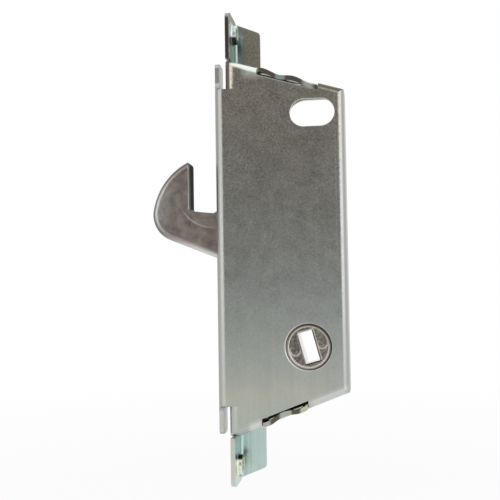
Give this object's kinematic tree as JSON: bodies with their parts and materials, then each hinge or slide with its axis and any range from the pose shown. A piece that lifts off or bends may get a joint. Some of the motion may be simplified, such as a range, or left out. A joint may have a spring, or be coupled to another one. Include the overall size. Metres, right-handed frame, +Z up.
{
  "type": "sliding door mortise lock",
  "caption": "Narrow folded-steel mortise lock for a sliding patio door, with a swinging hook bolt, a cast keyway hub and bent screw ears at top and bottom.",
  "frame": {"origin": "midway between the two ear screw holes, on the front face of the ears, halfway through the case thickness", "axes": "+X from the hook side to the back of the case, -Y out of the side plate of the case body, +Z up along the case"},
  "size_m": [0.0617, 0.0126, 0.1486],
  "materials": {
    "zinc_sheet": "clear zinc plate, mottled",
    "hook_steel": "rough, tumbled",
    "cast_zinc": "die cast, dull",
    "pin_steel": "turned, satin",
    "spring_steel": "blued, satin"
  },
  "bodies": {
    "case": {"case_body": "zinc_sheet", "cover_plate": "zinc_sheet", "hook_pivot_post": "pin_steel", "hook_washer_near": "pin_steel", "hook_washer_far": "pin_steel", "detent_spring": "spring_steel", "spring_anchor_post": "pin_steel", "spring_support_post": "pin_steel", "stop_post": "pin_steel"},
    "hook": {"hook_bolt": "hook_steel", "hook_link_pin": "pin_steel"},
    "hub": {"keyway_hub": "cast_zinc", "hub_link_pin": "pin_steel"},
    "link": {"drive_link": "pin_steel"}
  },
  "joints": [
    {"name": "hook_swing", "type": "hinge", "parent": "case", "child": "hook", "pos_m": [0.009, 0, -0.002], "axis": [0, 1, 0], "range_deg": [0, 60]},
    {"name": "hub_turn", "type": "hinge", "parent": "case", "child": "hub", "pos_m": [0.0246, 0, -0.03135], "axis": [0, 1, 0], "range_deg": [0, 60], "deforming": ["detent_spring"]},
    {"name": "link_swing", "type": "hinge", "parent": "hub", "child": "link", "pos_m": [0.02301, 0, -0.02117], "axis": [0, 1, 0], "range_deg": [-60, 0]}
  ],
  "couplings": [
    {"joint": "hub_turn", "follows": "hook_swing", "ratio": 1},
    {"joint": "link_swing", "follows": "hook_swing", "ratio": -1}
  ]
}
